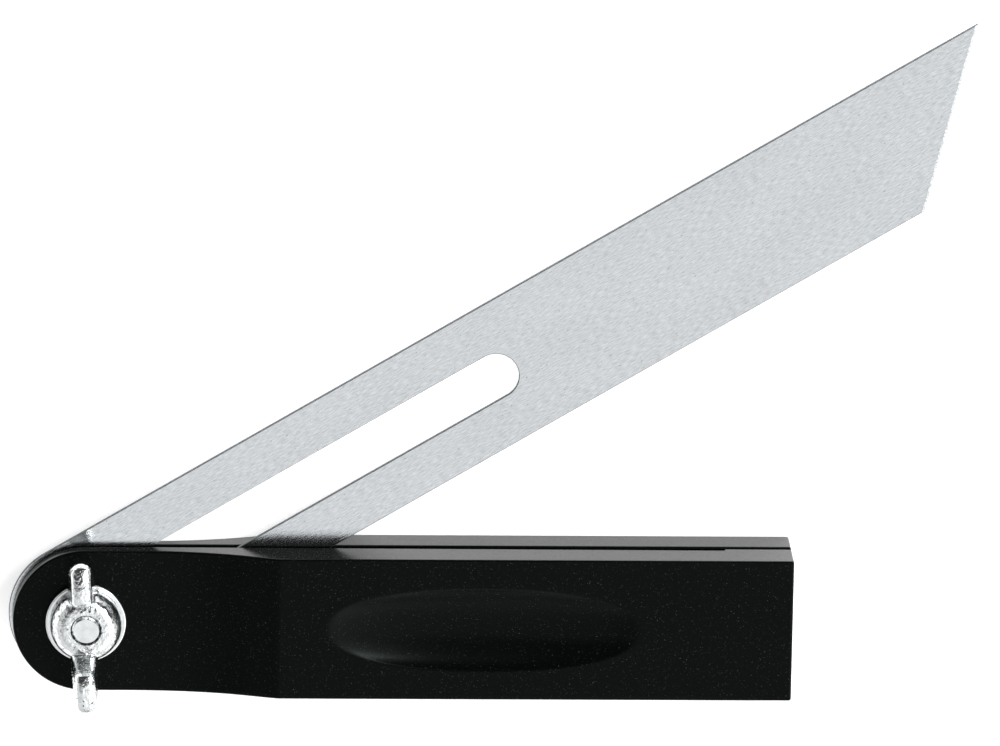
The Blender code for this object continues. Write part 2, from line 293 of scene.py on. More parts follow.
def grain(tree, size, detail=2.0, stretch=(1, 1, 1), space="Object"):
    """Noise with grains of a real size, longer along some axes, in the piece's own space or in
    its map."""
    coordinates = add_node(tree, "ShaderNodeTexCoord").outputs[space]
    placed = add_node(tree, "ShaderNodeMapping",
                      {"Vector": coordinates, "Scale": [1 / (size * share) for share in stretch]})
    return add_node(tree, "ShaderNodeTexNoise", {"Vector": placed.outputs["Vector"],
                                                 "Scale": 1.0, "Detail": detail}).outputs["Fac"]


def powder_coat():
    """Polyester powder baked on a zinc casting. It is a deep satin black, finely pebbled, with a
    few pale peaks, and mirrors little straight on but much where it is seen from the side."""
    material, tree, shader = new_material("satin_black_powder_coat")
    pebbles = grain(tree, 0.5 * MM, detail=3.0)
    peaks = add_node(tree, "ShaderNodeMapRange", {
        "Value": grain(tree, 0.28 * MM, detail=1.0), "From Min": 0.68, "From Max": 0.78})
    colour = add_node(tree, "ShaderNodeMix", {
        MIX_SHARE: peaks.outputs["Result"], MIX_FIRST: "050707", MIX_SECOND: "383C3B"},
        data_type="RGBA")
    roughness = add_node(tree, "ShaderNodeMapRange", {
        "Value": pebbles, "From Min": 0.3, "From Max": 0.7, "To Min": 0.2, "To Max": 0.28})
    relief = add_node(tree, "ShaderNodeBump", {
        "Height": pebbles, "Strength": 0.3, "Distance": 0.03 * MM})
    set_sockets(tree, shader, {
        "Base Color": colour.outputs[MIX_RESULT], "Roughness": roughness.outputs["Result"],
        "Specular Tint": "464B48", "IOR": 1.6, "Normal": relief.outputs["Normal"]})
    return material


def brushed_steel():
    """Tool steel, ground and brushed along the blade. Short streaks run along it, with a few
    pits, and it stays pale and cool."""
    material, tree, shader = new_material("brushed_tool_steel")
    streaks = grain(tree, 0.22 * MM, detail=4.0, stretch=(1, 8, 1), space="UV")
    streak_share = add_node(tree, "ShaderNodeMapRange", {
        "Value": streaks, "From Min": 0.35, "From Max": 0.65})
    cloud_share = add_node(tree, "ShaderNodeMapRange", {
        "Value": grain(tree, 9 * MM, detail=4.0, stretch=(1, 2.5, 1), space="UV"),
        "From Min": 0.35, "From Max": 0.65})
    pit_share = add_node(tree, "ShaderNodeMapRange", {
        "Value": grain(tree, 0.3 * MM, detail=1.0, stretch=(1, 2, 1), space="UV"),
        "From Min": 0.68, "From Max": 0.78})
    pale = add_node(tree, "ShaderNodeMix", {
        MIX_SHARE: cloud_share.outputs["Result"], MIX_FIRST: "D4D8DA", MIX_SECOND: "D7DBDD"},
        data_type="RGBA")
    dark = add_node(tree, "ShaderNodeMix", {
        MIX_SHARE: cloud_share.outputs["Result"], MIX_FIRST: "BBBFC2", MIX_SECOND: "BFC3C6"},
        data_type="RGBA")
    brushed = add_node(tree, "ShaderNodeMix", {
        MIX_SHARE: streak_share.outputs["Result"], MIX_FIRST: dark.outputs[MIX_RESULT],
        MIX_SECOND: pale.outputs[MIX_RESULT]}, data_type="RGBA")
    colour = add_node(tree, "ShaderNodeMix", {
        MIX_SHARE: pit_share.outputs["Result"], MIX_FIRST: brushed.outputs[MIX_RESULT],
        MIX_SECOND: "8C9093"}, data_type="RGBA")
    roughness = add_node(tree, "ShaderNodeMapRange", {
        "Value": streaks, "From Min": 0.3, "From Max": 0.7, "To Min": 0.11, "To Max": 0.16})
    across = add_node(tree, "ShaderNodeTangent", direction_type="UV_MAP", uv_map=GRAIN_MAP)
    relief = add_node(tree, "ShaderNodeBump", {
        "Height": streaks, "Strength": 0.45, "Distance": 0.04 * MM})
    set_sockets(tree, shader, {
        "Base Color": colour.outputs[MIX_RESULT], "Metallic": 1.0,
        "Roughness": roughness.outputs["Result"], "Anisotropic": 0.7,
        "Tangent": across.outputs["Tangent"], "Normal": relief.outputs["Normal"]})
    return material


def cut_steel(name, dark, pale):
    """Steel cut across its thickness and filed. It is duller than the brushed faces, with short
    marks."""
    material, tree, shader = new_material(name)
    marks = grain(tree, 0.4 * MM, stretch=(1, 1, 6))
    mark_share = add_node(tree, "ShaderNodeMapRange", {
        "Value": marks, "From Min": 0.4, "From Max": 0.6})
    colour = add_node(tree, "ShaderNodeMix", {
        MIX_SHARE: mark_share.outputs["Result"], MIX_FIRST: dark, MIX_SECOND: pale},
        data_type="RGBA")
    roughness = add_node(tree, "ShaderNodeMapRange", {
        "Value": marks, "From Min": 0.3, "From Max": 0.7, "To Min": 0.36, "To Max": 0.5})
    relief = add_node(tree, "ShaderNodeBump", {
        "Height": marks, "Strength": 0.2, "Distance": 0.02 * MM})
    set_sockets(tree, shader, {
        "Base Color": colour.outputs[MIX_RESULT], "Metallic": 1.0,
        "Roughness": roughness.outputs["Result"], "Normal": relief.outputs["Normal"]})
    return material


def zinc_plate():
    """Bright zinc plating on turned steel. It is nearly a mirror, with a faint cloudiness."""
    material, tree, shader = new_material("bright_zinc_plate")
    clouds = grain(tree, 1.8 * MM, detail=4.0)
    cloud_share = add_node(tree, "ShaderNodeMapRange", {
        "Value": clouds, "From Min": 0.35, "From Max": 0.65})
    colour = add_node(tree, "ShaderNodeMix", {
        MIX_SHARE: cloud_share.outputs["Result"], MIX_FIRST: "D8DBDC", MIX_SECOND: "E4E7E8"},
        data_type="RGBA")
    roughness = add_node(tree, "ShaderNodeMapRange", {
        "Value": clouds, "From Min": 0.3, "From Max": 0.7, "To Min": 0.14, "To Max": 0.26})
    relief = add_node(tree, "ShaderNodeBump", {
        "Height": grain(tree, 0.5 * MM), "Strength": 0.1, "Distance": 0.02 * MM})
    set_sockets(tree, shader, {
        "Base Color": colour.outputs[MIX_RESULT], "Metallic": 1.0,
        "Roughness": roughness.outputs["Result"], "Normal": relief.outputs["Normal"]})
    return material


def plated_casting():
    """Bright zinc plating on a cast nut. The plating keeps the rough skin of the casting, which
    breaks up what it mirrors. It is speckled with dark pits, and its hollows are darkened with
    more of them as painted shade."""
    material, tree, shader = new_material("bright_zinc_on_casting")
    skin_grain = grain(tree, 0.8 * MM, detail=4.0)
    # Painted shade: where ambient occlusion finds the nut hemmed in, round the wing roots and the
    # boss, up to 0.15 is added to the grain, so these hollows get more dark pits
    openness = add_node(tree, "ShaderNodeAmbientOcclusion", {"Distance": 4 * MM}, samples=4)
    painted_hollow_shade = add_node(tree, "ShaderNodeMapRange", {
        "Value": openness.outputs["AO"], "From Min": 0.9, "From Max": 0.4,
        "To Min": 0.0, "To Max": 0.15})
    pits = add_node(tree, "ShaderNodeMath", {0: skin_grain, 1: painted_hollow_shade.outputs["Result"]},
                    operation="ADD")
    # The dark speckles are random pits from the skin's grain together with the painted shade of the
    # hollows
    pit_share = add_node(tree, "ShaderNodeMapRange", {
        "Value": pits.outputs["Value"], "From Min": 0.66, "From Max": 0.69})
    clouds = grain(tree, 1.5 * MM, detail=4.0)
    cloud_share = add_node(tree, "ShaderNodeMapRange", {
        "Value": clouds, "From Min": 0.35, "From Max": 0.65})
    plated = add_node(tree, "ShaderNodeMix", {
        MIX_SHARE: cloud_share.outputs["Result"], MIX_FIRST: "D8DBDC", MIX_SECOND: "E4E7E8"},
        data_type="RGBA")
    colour = add_node(tree, "ShaderNodeMix", {
        MIX_SHARE: pit_share.outputs["Result"], MIX_FIRST: plated.outputs[MIX_RESULT],
        MIX_SECOND: "2E3032"}, data_type="RGBA")
    roughness = add_node(tree, "ShaderNodeMapRange", {
        "Value": clouds, "From Min": 0.3, "From Max": 0.7, "To Min": 0.08, "To Max": 0.16})
    relief = add_node(tree, "ShaderNodeBump", {
        "Height": skin_grain, "Strength": 0.9, "Distance": 0.2 * MM})
    set_sockets(tree, shader, {
        "Base Color": colour.outputs[MIX_RESULT], "Metallic": 1.0,
        "Roughness": roughness.outputs["Result"], "Normal": relief.outputs["Normal"]})
    return material


def rolled_steel():
    """Plain rolled steel sleeve, dull grey with faint lines round it."""
    material, tree, shader = new_material("plain_rolled_steel")
    lines = grain(tree, 0.3 * MM, stretch=(6, 6, 1))
    line_share = add_node(tree, "ShaderNodeMapRange", {
        "Value": lines, "From Min": 0.3, "From Max": 0.7})
    colour = add_node(tree, "ShaderNodeMix", {
        MIX_SHARE: line_share.outputs["Result"], MIX_FIRST: "9A9C9D", MIX_SECOND: "BDBFC0"},
        data_type="RGBA")
    roughness = add_node(tree, "ShaderNodeMapRange", {
        "Value": lines, "From Min": 0.3, "From Max": 0.7, "To Min": 0.3, "To Max": 0.45})
    relief = add_node(tree, "ShaderNodeBump", {
        "Height": lines, "Strength": 0.1, "Distance": 0.02 * MM})
    set_sockets(tree, shader, {
        "Base Color": colour.outputs[MIX_RESULT], "Metallic": 1.0,
        "Roughness": roughness.outputs["Result"], "Normal": relief.outputs["Normal"]})
    return material


# Shapes

def arc(centre, radius, start, end, steps):
    """Points of an arc in a plane, both ends included."""
    points = []
    for step in range(steps + 1):
        angle = start + (end - start) * step / steps
        points.append((centre[0] + radius * math.cos(angle), centre[1] + radius * math.sin(angle)))
    return points


def sweep(start, start_pull, end_pull, end, steps):
    """Points of a smooth curve between two points, without its first point."""
    points = []
    for step in range(1, steps + 1):
        along = step / steps
        back = 1 - along
        weights = (back ** 3, 3 * back ** 2 * along, 3 * back * along ** 2, along ** 3)
        corners = (start, start_pull, end_pull, end)
        points.append(tuple(sum(w * c[i] for w, c in zip(weights, corners)) for i in range(2)))
    return points


def skin(rows):
    """Joins rows of points into a closed surface, with its first and last rows filled."""
    shape = bmesh.new()
    rings = [[shape.verts.new(point) for point in row] for row in rows]
    for low, high in zip(rings, rings[1:]):
        for step in range(len(low)):
            after = (step + 1) % len(low)
            shape.faces.new((low[step], low[after], high[after], high[step]))
    shape.faces.new(rings[0][::-1])
    shape.faces.new(rings[-1])
    return shape


def plate(outline, floor, roof):
    """An outline in the XY plane, given height between two surfaces."""
    return skin([[(x, y, side(x)) for x, y in outline] for side in (floor, roof)])


def slab(outline, low, high):
    """An outline in the XY plane between two flat heights."""
    return plate(outline, lambda reach: low, lambda reach: high)


def block(low_corner, high_corner):
    """A box between two corners."""
    (low_x, low_y, low_z), (high_x, high_y, high_z) = low_corner, high_corner
    outline = [(low_x, low_y), (high_x, low_y), (high_x, high_y), (low_x, high_y)]
    return slab(outline, low_z, high_z)


def turned(profile, sides, centre=(0, 0)):
    """A profile of (radius, height) points turned about an upright axis. One that starts and ends
    on the axis is closed there, and any other is a ring."""
    on_axis = profile[0][0] == 0
    rim = profile[1:-1] if on_axis else profile
    shape = bmesh.new()
    rings = []
    for radius, height in rim:
        circle = arc(centre, radius, 0, math.tau, sides)[:-1]
        rings.append([shape.verts.new((x, y, height)) for x, y in circle])
    pairs = list(zip(rings, rings[1:]))
    if not on_axis:
        pairs.append((rings[-1], rings[0]))
    for low, high in pairs:
        for step in range(sides):
            after = (step + 1) % sides
            shape.faces.new((low[step], low[after], high[after], high[step]))
    if on_axis:
        for ring, height in ((rings[0], profile[0][1]), (rings[-1], profile[-1][1])):
            tip = shape.verts.new((*centre, height))
            for step in range(sides):
                shape.faces.new((ring[step], ring[(step + 1) % sides], tip))
    return shape


def new_object(name, shape, materials=()):
    """An object in the scene with a shape as its mesh, faces outwards."""
    piece = bpy.data.objects.new(name, bpy.data.meshes.new(name))
    bmesh.ops.recalc_face_normals(shape, faces=shape.faces)
    shape.to_mesh(piece.data)
    shape.free()
    for material in materials:
        piece.data.materials.append(material)
    bpy.context.scene.collection.objects.link(piece)
    return piece


def settle(piece):
    """Makes what the modifiers give the piece's own mesh."""
    bpy.context.view_layer.update()
    graph = bpy.context.evaluated_depsgraph_get()
    mesh = bpy.data.meshes.new_from_object(piece.evaluated_get(graph))
    piece.modifiers.clear()
    piece.data = mesh


def combine(piece, shape, operation="DIFFERENCE"):
    """Cuts a shape from a piece, or joins it on."""
    tool = new_object("tool", shape)
    step = piece.modifiers.new("combine", "BOOLEAN")
    step.operation = operation
    step.object = tool
    step.solver = "EXACT"
    settle(piece)
    bpy.data.objects.remove(tool, do_unlink=True)


def round_edges(piece, width, steps=corner_steps):
    """Rounds every real corner, and leaves round stretches as they are."""
    step = piece.modifiers.new("round_edges", "BEVEL")
    step.width = width
    step.segments = steps
    step.limit_method = "ANGLE"
    step.angle_limit = corner_angle
    step.use_clamp_overlap = False
    settle(piece)


def shade(piece):
    """Flat faces look flat, rounded corners look round, and sharper edges stay crisp."""
    piece.data.shade_smooth()
    piece.data.set_sharp_from_angle(angle=soft_angle)
    step = piece.modifiers.new("weighted_normals", "WEIGHTED_NORMAL")
    step.keep_sharp = True
    settle(piece)


def place(piece, name, body, replaces):
    """Puts a finished piece on the pivot's axis, and says what it rides on and stands for."""
    piece.name = name
    piece.location = pivot
    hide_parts(replaces)
    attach(piece, body)


# The stock

def stock_outline():
    """The round head about the pivot, and the straight body to the butt."""
    head = arc((0, 0), head_radius, math.pi / 2, 3 * math.pi / 2, head_sides)
    return head + [(butt_reach, -head_radius), (butt_reach, head_radius)]


def head_recess(face, inward, recess):
    """The body cut away to thin one leaf of the head, with its easy ramp up to the body."""
    crease = (ramp_crease_reach, 0)
    foot = (ramp_foot_reach, recess)
    crease_pull = (ramp_crease_reach - ramp_crease_pull, ramp_crease_drop)
    foot_pull = (ramp_foot_reach + ramp_foot_pull, recess)
    beyond = -head_radius - cut_overrun
    profile = [(ramp_crease_reach, -cut_overrun), crease]
    profile += sweep(crease, crease_pull, foot_pull, foot, ramp_steps)
    profile += [(beyond, recess), (beyond, -cut_overrun)]
    wide = head_radius + cut_overrun
    return skin([[(reach, y, face + inward * depth) for reach, depth in profile]
                 for y in (-wide, wide)])


def scoop_depth_at(share):
    """Depth of the thumb scoop at a share of its half width. It is a cap of a ball, cut off at a
    share of the ball's radius, with a softened lip that runs out past 1."""
    spread_share = math.sqrt(1 - scoop_sphere_share ** 2)
    ball_height = scoop_depth / (1 - scoop_sphere_share)
    inside = max(0, 1 - (spread_share * share) ** 2)
    bowl = ball_height * (math.sqrt(inside) - scoop_sphere_share)
    return (bowl + math.hypot(bowl, scoop_lip)) / 2 - scoop_lip_rise


def thumb_scoop(face, inward):
    """The long oval hollow, a little blunter than an ellipse, as the body that cuts it."""
    blunt_oval = [[math.copysign(abs(way) ** (2 / scoop_bluntness), way) for way in point]
                  for point in arc((0, 0), 1, 0, math.tau, scoop_sides)[:-1]]
    rings = []
    for step in range(1, scoop_rings + 1):
        share = scoop_reach_share * math.sin(math.pi / 2 * step / scoop_rings)
        rings.append((share, scoop_depth_at(share)))
    rings.append((scoop_reach_share, -cut_overrun))
    return skin([[(scoop_reach + x * scoop_half_length * share, y * scoop_half_width * share,
                   face + inward * depth) for x, y in blunt_oval]
                 for share, depth in rings])


def screw_hole(across):
    """The countersunk hole of a butt screw, from behind."""
    head = screw_head_diameter / 2 + hole_slack
    shank = screw_diameter / 2 + hole_slack
    top = screw_sink + screw_length + hole_slack
    profile = [(0, -cut_overrun), (head, -cut_overrun), (head, screw_sink),
               (shank, screw_sink + screw_head_height), (shank, top - shank), (0, top)]
    return turned(profile, pin_sides, centre=(screw_reach, across))


def cut_screw_holes(half):
    """The holes of both butt screws in one leaf."""
    for across in (-screw_spacing / 2, screw_spacing / 2):
        combine(half, screw_hole(across))


def make_rear_half(coat):
    """The leaf that lies on the bench, with the land that carries the front leaf."""
    half = new_object("rear", slab(stock_outline(), 0, kerf_floor), [coat])
    combine(half, head_recess(0, 1, rear_recess))
    round_edges(half, edge_round)
    combine(half, thumb_scoop(0, 1))
    land_top = kerf_roof(land_reach) - pad_height - land_gap
    land_half = head_radius - land_inset
    combine(half, block((land_reach + land_inset, -land_half, kerf_floor - cut_overrun),
                        (butt_reach - land_inset, land_half, land_top)), "UNION")
    cut_screw_holes(half)
    neck = bolt_neck_half + clearance
    combine(half, block((-neck, -neck, -cut_overrun), (neck, neck, blade_middle)))
    shade(half)
    place(half, "stock_rear", "stock", "rear_half")


def make_front_half(coat):
    """The leaf over the blade, which rests on the rear one at the butt."""
    half = new_object("front", plate(stock_outline(), kerf_roof, lambda reach: body_thickness),
                      [coat])
    combine(half, head_recess(body_thickness, -1, front_recess))
    combine(half, block((land_reach, -head_radius, kerf_roof(land_reach) - pad_height),
                        (butt_reach, head_radius, body_thickness - cut_overrun)), "UNION")
    round_edges(half, edge_round)
    combine(half, thumb_scoop(body_thickness, -1))
    cut_screw_holes(half)
    bore = sleeve_radius + clearance
    profile = [(0, blade_middle), (bore, blade_middle), (bore, body_thickness), (0, body_thickness)]
    combine(half, turned(profile, pin_sides))
    shade(half)
    place(half, "stock_front", "stock", "front_half")


def make_butt_screws(plating):
    """Two countersunk screws, each with a straight slot."""
    head, shank = screw_head_diameter / 2, screw_diameter / 2
    top = screw_sink + screw_length
    profile = [(0, screw_sink), (head, screw_sink), (shank, screw_sink + screw_head_height),
               (shank, top - shank), (0, top)]
    half_slot = screw_slot_width / 2
    for name, side in (("upper", 1), ("lower", -1)):
        across = side * screw_spacing / 2
        screw = new_object(name, turned(profile, pin_sides, centre=(screw_reach, across)),
                           [plating])
        combine(screw, block((screw_reach - screw_head_diameter, across - half_slot, -cut_overrun),
                             (screw_reach + screw_head_diameter, across + half_slot,
                              screw_sink + screw_slot_depth)))
        round_edges(screw, screw_edge_round, fine_corner_steps)
        shade(screw)
        place(screw, "butt_screw_" + name + "_plated", "stock", "butt_screw_" + name)


# The blade

def make_blade(finishes):
    """The round heel, the long slot and the slanted tip, about the middle of the slot's near end.
    Its finishes are those of its faces, its edges and its ground tip, in that order."""
    corner = blade_length - heel_radius
    tip_run = blade_width / math.tan(tip_angle)
    outline = arc((0, 0), heel_radius, math.pi / 2, 3 * math.pi / 2, head_sides)
    outline += [(corner - tip_run, -heel_radius), (corner, heel_radius)]
    slot = arc((0, 0), slot_width / 2, math.pi / 2, 3 * math.pi / 2, slot_end_sides)
    slot += arc((slot_travel, 0), slot_width / 2, -math.pi / 2, math.pi / 2, slot_end_sides)
    low, high = blade_middle - blade_thickness / 2, blade_middle + blade_thickness / 2
    blade = new_object("blade_steel", slab(outline, low, high), finishes)
    combine(blade, slab(slot, low - cut_overrun, high + cut_overrun))
    round_edges(blade, blade_edge_break, fine_corner_steps)
    start, end = Vector((corner - tip_run, -heel_radius)), Vector((corner, heel_radius))
    along = (end - start).normalized()
    out = Vector((along.y, -along.x))
    ends = (start - along * cut_overrun, end + along * cut_overrun)
    for face, outward in ((high, 1), (low, -1)):
        combine(blade, tip_wedge(ends, out, face, outward))
    sort_faces(blade, start, out)
    shift = Matrix.Translation((-rest_retraction, blade_side_step, 0))
    blade.data.transform(Matrix.Rotation(rest_angle, 4, "Z") @ shift)
    shade(blade)
    place(blade, "blade_brushed", "blade", "blade")


def tip_wedge(ends, out, face, outward):
    """The sliver that a grindstone takes off one face along the slanted tip."""
    fall = math.tan(tip_grind_angle)
    profile = [(-tip_grind_width, 0), (cut_overrun, -(cut_overrun + tip_grind_width) * fall),
               (cut_overrun, cut_overrun), (-tip_grind_width, cut_overrun)]
    return skin([[(*(corner + out * reach), face + outward * rise) for reach, rise in profile]
                 for corner in ends])


def sort_faces(blade, tip_point, out):
    """Gives the blade's broad faces, narrow edges and ground tip their finishes, and lays the map
    of its grain in metres, whose first axis runs across the brushing."""
    mesh = blade.data
    for face in mesh.polygons:
        levelness = abs(face.normal.z)
        near_tip = (face.center.xy - tip_point).dot(out) > -tip_grind_width
        if levelness > broad_face_levelness:
            face.material_index = FACE_FINISH
        elif near_tip and levelness > ground_face_levelness:
            face.material_index = TIP_FINISH
        else:
            face.material_index = EDGE_FINISH
    grain_map = mesh.uv_layers.new(name=GRAIN_MAP)
    for loop in mesh.loops:
        corner = mesh.vertices[loop.vertex_index].co
        grain_map.data[loop.index].uv = (corner.y, corner.x)


# The pivot's hardware

def make_pivot_bolt(plating):
    """A domed head behind, a square neck in the rear leaf, a shank, and a threaded end."""
    seat = rear_recess - land_gap
    dome_radius = (bolt_head_radius ** 2 + bolt_head_height ** 2) / (2 * bolt_head_height)
    dome_half_angle = math.asin(bolt_head_radius / dome_radius)
    dome_centre = seat - bolt_head_height + dome_radius
    dome = arc((0, dome_centre), dome_radius, -math.pi / 2, dome_half_angle - math.pi / 2,
               dome_steps)
    rings = dome[1:] + [(bolt_radius, seat)]
    thread_start = bolt_top - thread_length
    steps = round(thread_length / thread_pitch * thread_steps)
    for step in range(steps + 1):
        rings.append((bolt_radius, thread_start + thread_length * step / steps))
    rows = []
    for radius, height in rings:
        row = []
        for side in range(thread_sides):
            angle = math.tau * side / thread_sides
            reach = radius
            if height > thread_start:
                reach -= thread_cut(height, angle, thread_start)
                reach = min(reach, bolt_radius - (height - (bolt_top - bolt_end_chamfer)))
            row.append((reach * math.cos(angle), reach * math.sin(angle), height))
        rows.append(row)
    bolt = new_object("bolt", skin(rows), [plating])
    combine(bolt, block((-bolt_neck_half, -bolt_neck_half, seat - clearance),
                        (bolt_neck_half, bolt_neck_half, kerf_floor - clearance)), "UNION")
    shade(bolt)
    place(bolt, "pivot_bolt_threaded", "stock", "pivot_bolt")


def thread_cut(height, angle, start):
    """How deep the thread's groove is at a place on the bolt, run in gently from the plain
    shank."""
    turn = (height / thread_pitch - angle / math.tau) % 1
    groove = 1 - abs(2 * turn - 1)
    run_in = min(1, (height - start) / thread_pitch)
    return thread_depth * run_in * min(1, max(0, groove * thread_steepness - thread_crest_share))


def make_washer(plating):
    """A pressed washer, rounded over at its upper rim and sharper below."""
    low, high = washer_low.z, washer_high.z
    ease = washer_edge_round
    small = washer_low_edge_round
    profile = arc((washer_radius - ease, high - ease), ease, math.pi / 2, 0, corner_steps)
    profile += arc((washer_radius - small, low + small), small, 0, -math.pi / 2, corner_steps)
    hole = washer_hole_radius + small
    profile += arc((hole, low + small), small, 3 * math.pi / 2, math.pi, corner_steps)
    profile += arc((hole, high - small), small, math.pi, math.pi / 2, corner_steps)
    washer = new_object("washer_ring", turned(profile, washer_sides), [plating])
    shade(washer)
    place(washer, "washer_plated", "washer", "washer")


def towards(point, angle, distance):
    """The point at a distance from another one, in the direction of an angle."""
    return (point[0] + distance * math.cos(angle), point[1] + distance * math.sin(angle))


def wing_outline():
    """One wing seen along its thickness: (distance from the axis, height over the nut's base)."""
    tip = (wing_span / 2 - wing_tip_radius, wing_tip_middle_height)
    round_tip = arc(tip, wing_tip_radius, wing_slope - math.pi / 2, wing_crown_angle,
                    wing_curve_steps)
    outer_start, crown_start = round_tip[0], round_tip[-1]
    crown_end = (wing_crown_reach, wing_crown_height)
    under = (boss_base_radius, boss_edge_round)
    root = (wing_root_reach, wing_root_height)
    downwards = wing_slope + math.pi
    inwards = wing_crown_angle + math.pi / 2
    curves = (
        (under, towards(under, 0, wing_slope_pull),
         towards(outer_start, downwards, wing_slope_pull), outer_start),
        (crown_start, towards(crown_start, inwards, wing_crown_outer_pull),
         towards(crown_end, wing_crown_fall, wing_crown_inner_pull), crown_end),
        (crown_end, towards(crown_end, downwards, wing_slope_pull),
         towards(root, 0, wing_root_pull), root))
    outside, crown, inside = [sweep(*curve, wing_curve_steps) for curve in curves]
    return [(wing_root_reach, boss_edge_round), under] + outside + round_tip[1:] + crown + inside


def wing_shape(side):
    """A wing with a flat crown and soft edges, thick at the boss, thinner towards its crown and
    round at its end, and cast a little to one side of the axis."""
    outline = wing_outline()
    rows = []
    for step in range(wing_edge_rows + 1):
        angle = wing_edge_angle * (2 * step / wing_edge_rows - 1)
        side_share = abs(math.sin(angle) / math.sin(wing_edge_angle))
        across = math.copysign(side_share ** (2 / wing_bluntness), angle)
        inset = wing_edge_depth * (1 - math.cos(angle) ** (2 / wing_bluntness))
        row = []
        for number, (reach, height) in enumerate(outline):
            before, after = outline[number - 1], outline[(number + 1) % len(outline)]
            outward = math.atan2(after[1] - before[1], after[0] - before[0]) - math.pi / 2
            share = height / wing_crown_height
            half = (wing_base_thickness * (1 - share) + wing_crown_thickness * share) / 2
            past = max(0, 1 - (wing_span / 2 - reach) / wing_end_round)
            half *= math.sqrt(1 - wing_end_taper * past ** 2)
            row.append((wing_side_step + across * half, side * (reach - inset * math.cos(outward)),
                        nut_base + height - inset * math.sin(outward)))
        rows.append(row)
    return skin(rows)


def make_wing_nut(plating):
    """The boss and its wings, melted into one another as in a casting, then bored, with a faint
    ripple in the cast skin."""
    high = nut_base + boss_height
    skirt = nut_base + boss_skirt_height
    dome = sweep((boss_base_radius, skirt), (boss_base_radius, skirt + boss_dome_pull),
                 (boss_top_radius + boss_dome_pull, high), (boss_top_radius, high), boss_dome_steps)
    ease = boss_edge_round
    profile = [(0, nut_base)]
    profile += arc((boss_base_radius - ease, nut_base + ease), ease, -math.pi / 2, 0, corner_steps)
    profile += [(boss_base_radius, skirt)] + dome + [(0, high)]
    nut = new_object("nut", turned(profile, pin_sides), [plating])
    for side in (1, -1):
        combine(nut, wing_shape(side), "UNION")
    melt = nut.modifiers.new("melt", "REMESH")
    melt.mode = "VOXEL"
    melt.voxel_size = nut_voxel
    smooth = nut.modifiers.new("smooth", "SMOOTH")
    smooth.iterations = nut_smoothing
    settle(nut)
    bore = [(0, nut_base - cut_overrun), (nut_bore_radius, nut_base - cut_overrun),
            (nut_bore_radius, high - nut_mouth_depth), (nut_mouth_radius, high),
            (nut_mouth_radius, high + cut_overrun), (0, high + cut_overrun)]
    combine(nut, turned(bore, pin_sides))
    skin_points = [v for v in nut.data.vertices
                   if v.co.xy.length > nut_mouth_radius and v.co.z > nut_base + boss_edge_round]
    moves = [v.normal * nut_ripple_height * noise.noise(v.co / nut_ripple_size)
             for v in skin_points]
    for point, move in zip(skin_points, moves):
        point.co += move
    nut.data.transform(Matrix.Rotation(nut_turn, 4, "Z"))
    shade(nut)
    place(nut, "wing_nut_cast", "nut", "wing_nut")


# The studio

def paper_floor():
    """A wide sheet of matt white paper. What the camera and the bright metal see of it is a little
    brighter than the lamps alone would make it, and it keeps the tool's shadow."""
    shape = bmesh.new()
    bmesh.ops.create_grid(shape, x_segments=1, y_segments=1, size=floor_half_width)
    material, tree, shader = new_material("matt_white_paper")
    fibre_share = add_node(tree, "ShaderNodeMapRange", {
        "Value": grain(tree, 2 * MM, detail=3.0), "From Min": 0.3, "From Max": 0.7})
    colour = add_node(tree, "ShaderNodeMix", {
        MIX_SHARE: fibre_share.outputs["Result"], MIX_FIRST: "ECECEC", MIX_SECOND: "F2F2F2"},
        data_type="RGBA")
    rays = add_node(tree, "ShaderNodeLightPath").outputs
    seen = rays["Is Camera Ray"]
    for ray in ("Is Glossy Ray", "Is Transmission Ray"):
        seen = add_node(tree, "ShaderNodeMath", {0: seen, 1: rays[ray]},
                        operation="MAXIMUM").outputs["Value"]
    glow = add_node(tree, "ShaderNodeMath", {0: seen, 1: paper_glow}, operation="MULTIPLY")
    set_sockets(tree, shader, {
        "Base Color": colour.outputs[MIX_RESULT], "Roughness": 0.9, "Specular IOR Level": 0.2,
        "Emission Color": "FFFFFF", "Emission Strength": glow.outputs["Value"]})
    floor = new_object("paper_floor", shape, [material])
    floor.location.z = -floor_gap


def towards_sky(azimuth, elevation):
    """The direction at an azimuth from +X and an elevation over the floor."""
    level = math.cos(elevation)
    return Vector((math.cos(azimuth) * level, math.sin(azimuth) * level, math.sin(elevation)))


